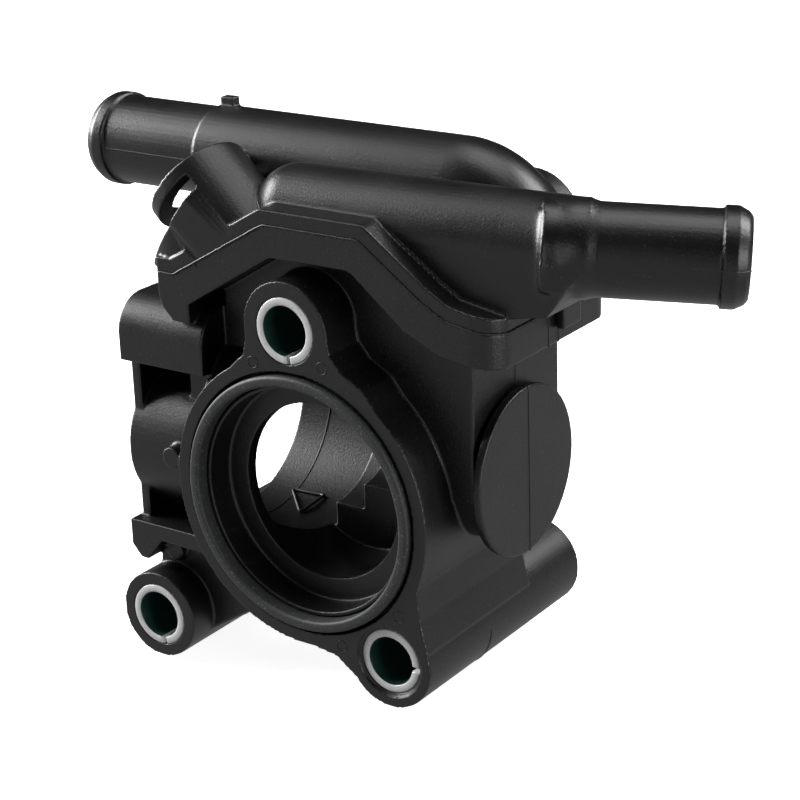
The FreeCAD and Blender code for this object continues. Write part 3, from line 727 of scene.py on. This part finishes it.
def joint_outline():
    """Outer edge of the welded joint: the cover's sharp edges that lie on the housing."""
    lower = bmesh.new()
    lower.from_mesh(merged_copy("lower_housing"))
    ground = BVHTree.FromBMesh(lower)
    upper = bmesh.new()
    upper.from_mesh(merged_copy("upper_cover"))
    pairs = []
    for edge in upper.edges:
        if len(edge.link_faces) != 2 or edge.calc_face_angle(0) < SHARP_EDGE:
            continue
        start, end = (corner.co for corner in edge.verts)
        middle = (start + end) / 2
        if any(ground.find_nearest(p, TOUCHING)[0] is None for p in (start, end, middle)):
            continue
        x, y, z = middle / MM
        climb = EAVE_HEIGHT + EAVE_SLOPE * max(x - EAVE_END, 0)
        if x < RIDGE_START and abs(z - climb) > EAVE_REACH:
            continue
        if y < JOINT_FRONT or y > JOINT_BACK or x > JOINT_RIGHT or x < JOINT_LEFT:
            pairs.append((start.copy(), end.copy()))
    lower.free()
    upper.free()
    return pairs


# Where the parting lines run on the part, in millimetres on the frame's axes
NOZZLE_START = (48.6, 14.4, 49.9)
# The nozzle points 27 degrees towards the back and 3.2 degrees down; its side is level
NOZZLE_AXIS = Vector((0.8896, 0.4533, -0.0558))
NOZZLE_SIDE = Vector((-0.4540, 0.8910, 0.0))
NOZZLE_BEAD_START, NOZZLE_INSIDE = 67.5, 6.6
BACK_PIPE_Y, BACK_PIPE_Z = 28.0, 53.2
BACK_PIPE_SHOWN, BACK_PIPE_INSIDE = (-57.0, -36.0), 8.0
PORT_AXIS = (21.6, 5.9)
PORT_STEP_X, PORT_STEP_REACH = -22.6, 19.8
RIGHT_BOLT, RIGHT_BOSS_REACH = (18.4, -25.9), 8
DISC_LINE_Y, DISC_RIM_Y, EAR_LINE_Y = 22.2, 19.1, 20.0
DISC_START, DISC_RIM_START = 33.9, 39.8
DISC_NECK_START, DISC_NECK = 31.3, (19.0, 32.0)


def on_disc(x, y, z):
    return x > DISC_START or (x > DISC_NECK_START and DISC_NECK[0] < z < DISC_NECK[1])


def on_disc_rim(x, y, z):
    return x > DISC_RIM_START


def under_right_ear(x, y, z):
    away = math.hypot(x - RIGHT_BOLT[0], z - RIGHT_BOLT[1])
    return z < RIGHT_BOLT[1] and away > RIGHT_BOSS_REACH


def on_nozzle(x, y, z):
    off = Vector((x - NOZZLE_START[0], y - NOZZLE_START[1], 0)).cross(NOZZLE_AXIS).length
    return x > NOZZLE_BEAD_START and off > NOZZLE_INSIDE


def on_back_pipe(x, y, z):
    shown = BACK_PIPE_SHOWN[0] < x < BACK_PIPE_SHOWN[1]
    return shown and abs(y - BACK_PIPE_Y) > BACK_PIPE_INSIDE


def on_port_step(x, y, z):
    return math.hypot(y - PORT_AXIS[0], z - PORT_AXIS[1]) < PORT_STEP_REACH


# Each parting line: the node, a point of the plane, the plane's normal and the part shown
PARTING_LINES = (
    ("lower_housing", (0, DISC_LINE_Y, 0), (0, 1, 0), on_disc),
    ("lower_housing", (0, DISC_RIM_Y, 0), (0, 1, 0), on_disc_rim),
    ("lower_housing", (0, EAR_LINE_Y, 0), (0, 1, 0), under_right_ear),
    ("upper_cover", NOZZLE_START, NOZZLE_AXIS.cross(NOZZLE_SIDE), on_nozzle),
    ("upper_cover", (0, BACK_PIPE_Y, BACK_PIPE_Z), (0, 0, 1), on_back_pipe),
)
# The rib in the side port and the pin marks on the front face, in millimetres
RIB_CORNERS = ((-23.4, 28.5, -12.2), (-16.0, 28.7, -12.0), (-17.1, 22.4, -13.4))
PIN_MARKS = ((-8.3, 25.1), (6.6, 26.5), (20.7, -16.5), (8.3, -25.3))
PIN_POINTS, PIN_SIDES = 32, 8
# Each bead's point spacing and waver, and the radius where no setting gives it, in metres
LINE_BEAD = {"Step": 0.0006, "Uneven": 0.00003}
FLASH_BEAD = {"Step": 0.0005, "Uneven": 0.0002}
RIB_BEAD = {"Radius": 0.00032, "Step": 0.001, "Uneven": 0.0001}
STEP_BEAD = {"Radius": 0.00014, "Step": 0.0008, "Uneven": 0.00005}


class BuildPartingLines(bpy.types.Operator):
    """Fine ridges where the mould halves met"""
    bl_idname = "coolant_flange.parting_lines"
    bl_label = "Parting lines"

    def execute(self, context):
        tree = bead_tree(finishes()["trim"])
        pairs = []
        for line in PARTING_LINES:
            pairs += section(*line)
        grown("parting_lines", edge_mesh("parting_paths", pairs), tree,
              Radius=context.scene.flange_detail.line, **LINE_BEAD)
        return {"FINISHED"}


class BuildWeldFlash(bpy.types.Operator):
    """Uneven bead squeezed out of the welded joint"""
    bl_idname = "coolant_flange.weld_flash"
    bl_label = "Weld flash"

    def execute(self, context):
        tree = bead_tree(finishes()["trim"])
        grown("weld_flash", edge_mesh("joint_paths", joint_outline()), tree,
              Radius=context.scene.flange_detail.flash, **FLASH_BEAD)
        return {"FINISHED"}


class BuildBoreDetails(bpy.types.Operator):
    """Triangular rib and the step ring inside the side port"""
    bl_idname = "coolant_flange.bore_details"
    bl_label = "Bore details"

    def execute(self, context):
        tree = bead_tree(finishes()["trim"])
        corners = [Vector(corner) * MM for corner in RIB_CORNERS]
        rib = edge_mesh("rib_path", [(corners[k], corners[(k + 1) % 3]) for k in range(3)])
        grown("port_rib", rib, tree, **RIB_BEAD)
        ring = section("lower_housing", (PORT_STEP_X, 0, 0), (1, 0, 0), on_port_step)
        grown("port_step", edge_mesh("step_path", ring), tree, **STEP_BEAD)
        return {"FINISHED"}


def pin_tree(material):
    """Geometry Nodes: the raised ring of an ejector pin on every point."""
    tree = bpy.data.node_groups.new("pin_marks", "GeometryNodeTree")
    group_sockets(tree, "INPUT", "NodeSocketGeometry", "Points")
    number_inputs(tree, Radius=0.001, Ridge=0.00009)
    group_sockets(tree, "OUTPUT", "NodeSocketGeometry", "Geometry")
    put_in = new_node(tree, "NodeGroupInput", (-900, 0))
    circle = tree_circle(tree, put_in.outputs["Radius"], (-600, -100), PIN_POINTS)
    profile = tree_circle(tree, put_in.outputs["Ridge"], (-600, -300), PIN_SIDES)
    ring = tree_sweep(tree, circle, profile, (-350, -150))
    spread = new_node(tree, "GeometryNodeInstanceOnPoints", (-50, 0))
    set_values(spread, Rotation=UPRIGHT)
    link(tree, put_in.outputs["Points"], spread.inputs["Points"])
    link(tree, ring, spread.inputs["Instance"])
    tree_ends(tree, material, spread.outputs[0])
    return tree


class BuildPinMarks(bpy.types.Operator):
    """Round marks of the ejector pins on the front face"""
    bl_idname = "coolant_flange.pin_marks"
    bl_label = "Pin marks"

    def execute(self, context):
        points = bpy.data.meshes.new("pin_points")
        points.from_pydata([(x * MM, 0.0, z * MM) for x, z in PIN_MARKS], [], [])
        grown("pin_marks", points, pin_tree(finishes()["trim"]),
              Radius=context.scene.flange_detail.pin)
        return {"FINISHED"}


# Stage
TARGET = Vector((0.022687, 0.0, 0.023834))
AZIMUTH, ELEVATION, ROLL, DISTANCE = 35.198, 20.349, -1.926, 0.35998
SENSOR_WIDTH, NEAR_CLIP, FAR_CLIP = 36.0, 0.01, 20
FLOOR_HALF_SIZE, FLOOR_GAP = 3.0, 0.0005
SKY_LIGHT, SKY_SEEN = 0.008, 1.0
# Each lamp: its name, place, side length and power
LAMPS = (
    ("top_softbox", (0, 0.12, 0.75), 0.5, 2.5),
    ("high_left_softbox", (-0.45, -0.1, 0.6), 0.4, 0.8),
    ("left_softbox", (-0.75, -0.1, 0.3), 0.45, 13.0),
    ("right_softbox", (0.75, -0.05, 0.1), 0.45, 3.5),
    ("low_front_softbox", (0.15, -0.9, 0.2), 0.3, 0.8),
    ("high_right_softbox", (0.45, 0.5, 0.6), 0.45, 6.5),
)


def camera_axes():
    """Right, up and back directions of the camera that was fitted to the object."""
    a, e, roll = (math.radians(v) for v in (AZIMUTH, ELEVATION, ROLL))
    back = Vector((math.sin(a) * math.cos(e), -math.cos(a) * math.cos(e), math.sin(e)))
    right = Vector((math.cos(a), math.sin(a), 0))
    up = back.cross(right)
    turned_right = right * math.cos(roll) + up * math.sin(roll)
    turned_up = up * math.cos(roll) - right * math.sin(roll)
    return turned_right, turned_up, back


def area_light(name, at, size, power):
    data = bpy.data.lights.new(name, "AREA")
    data.shape = "RECTANGLE"
    data.size = size
    data.size_y = size
    data.energy = power
    lamp = bpy.data.objects.new(name, data)
    lamp.location = at
    way = (TARGET - Vector(at)).normalized()
    lamp.rotation_euler = way.to_track_quat("-Z", "Y").to_euler()
    bpy.context.scene.collection.objects.link(lamp)


def studio_floor(colour):
    mesh = bpy.data.meshes.new("studio_floor")
    work = bmesh.new()
    bmesh.ops.create_grid(work, x_segments=1, y_segments=1, size=FLOOR_HALF_SIZE)
    work.to_mesh(mesh)
    work.free()
    lowest = CAD_BOX[0].z
    floor = bpy.data.objects.new("studio_floor", mesh)
    mesh.transform(Matrix.Translation((0, 0, lowest - FLOOR_GAP)))
    mesh.materials.append(floor_material(colour))
    bpy.context.scene.collection.objects.link(floor)


def studio_world():
    """Surroundings that are white to the camera and dim as a light."""
    world = bpy.data.worlds.new("studio")
    bpy.context.scene.world = world
    world.use_nodes = True
    tree = world.node_tree
    tree.nodes.clear()
    out = new_node(tree, "ShaderNodeOutputWorld", (600, 0))
    sky = new_node(tree, "ShaderNodeBackground", (0, 100))
    set_values(sky, Strength=SKY_LIGHT)
    plain = new_node(tree, "ShaderNodeBackground", (0, -100))
    set_values(plain, Strength=SKY_SEEN)
    rays = new_node(tree, "ShaderNodeLightPath", (-300, 0))
    blend = new_node(tree, "ShaderNodeMixShader", (300, 0))
    link(tree, rays.outputs["Is Camera Ray"], blend.inputs["Fac"])
    link(tree, sky.outputs[0], blend.inputs[1])
    link(tree, plain.outputs[0], blend.inputs[2])
    link(tree, blend.outputs[0], out.inputs["Surface"])


def photo_camera(focal_length):
    right, up, back = camera_axes()
    lens = bpy.data.cameras.new("photo_camera")
    lens.lens = focal_length
    lens.sensor_width = SENSOR_WIDTH
    lens.clip_start = NEAR_CLIP
    lens.clip_end = FAR_CLIP
    eye = bpy.data.objects.new("photo_camera", lens)
    place = TARGET + back * DISTANCE
    eye.matrix_world = Matrix((
        (right.x, up.x, back.x, place.x), (right.y, up.y, back.y, place.y),
        (right.z, up.z, back.z, place.z), (0, 0, 0, 1)))
    bpy.context.scene.collection.objects.link(eye)
    bpy.context.scene.camera = eye


class BuildStage(bpy.types.Operator):
    """Floor, white surroundings, soft lamps and the camera"""
    bl_idname = "coolant_flange.stage"
    bl_label = "Stage"

    def execute(self, context):
        settings = context.scene.flange_stage
        studio_floor(tuple(settings.floor))
        studio_world()
        for lamp in LAMPS:
            area_light(*lamp)
        photo_camera(settings.lens)
        context.scene.view_settings.view_transform = "Standard"
        return {"FINISHED"}


class FlangePanel(bpy.types.Panel):
    """The flange's pieces, in building order"""
    bl_idname = "VIEW3D_PT_coolant_flange"
    bl_label = "Coolant Flange"
    bl_space_type = "VIEW_3D"
    bl_region_type = "UI"
    bl_category = "Coolant Flange"

    def draw(self, context):
        column = self.layout.column()
        for kind in OPERATORS:
            column.operator(kind.bl_idname)
        scene = context.scene
        for group, names in PANEL_ROWS:
            for name in names:
                column.prop(getattr(scene, group), name)


OPERATORS = (
    BuildStage, BuildHousing, BuildCover, BuildSleeves, BuildGasket,
    BuildPartingLines, BuildWeldFlash, BuildBoreDetails, BuildPinMarks)
PANEL_ROWS = (
    ("flange_moulding", ("grain", "soften", "faces", "plastic")),
    ("flange_metal", ("chamfer", "steel", "inner_shade")),
    ("flange_rubber", ("rubber",)),
    ("flange_detail", ("line", "flash", "pin")),
    ("flange_stage", ("lens", "floor")),
)
GROUPS = (
    ("flange_moulding", MouldingSettings),
    ("flange_metal", MetalSettings),
    ("flange_rubber", RubberSettings),
    ("flange_detail", DetailSettings),
    ("flange_stage", StageSettings),
)


def register():
    for name, kind in GROUPS:
        bpy.utils.register_class(kind)
        setattr(bpy.types.Scene, name, PointerProperty(type=kind))
    for kind in (*OPERATORS, FlangePanel):
        bpy.utils.register_class(kind)


def unregister():
    for kind in (FlangePanel, *reversed(OPERATORS)):
        bpy.utils.unregister_class(kind)
    for name, kind in reversed(GROUPS):
        delattr(bpy.types.Scene, name)
        bpy.utils.unregister_class(kind)


def main():
    register()
    bpy.ops.coolant_flange.stage()
    bpy.ops.coolant_flange.housing()
    bpy.ops.coolant_flange.cover()
    bpy.ops.coolant_flange.sleeves()
    bpy.ops.coolant_flange.gasket()
    bpy.ops.coolant_flange.parting_lines()
    bpy.ops.coolant_flange.weld_flash()
    bpy.ops.coolant_flange.bore_details()
    bpy.ops.coolant_flange.pin_marks()


if __name__ == "__main__":
    main()
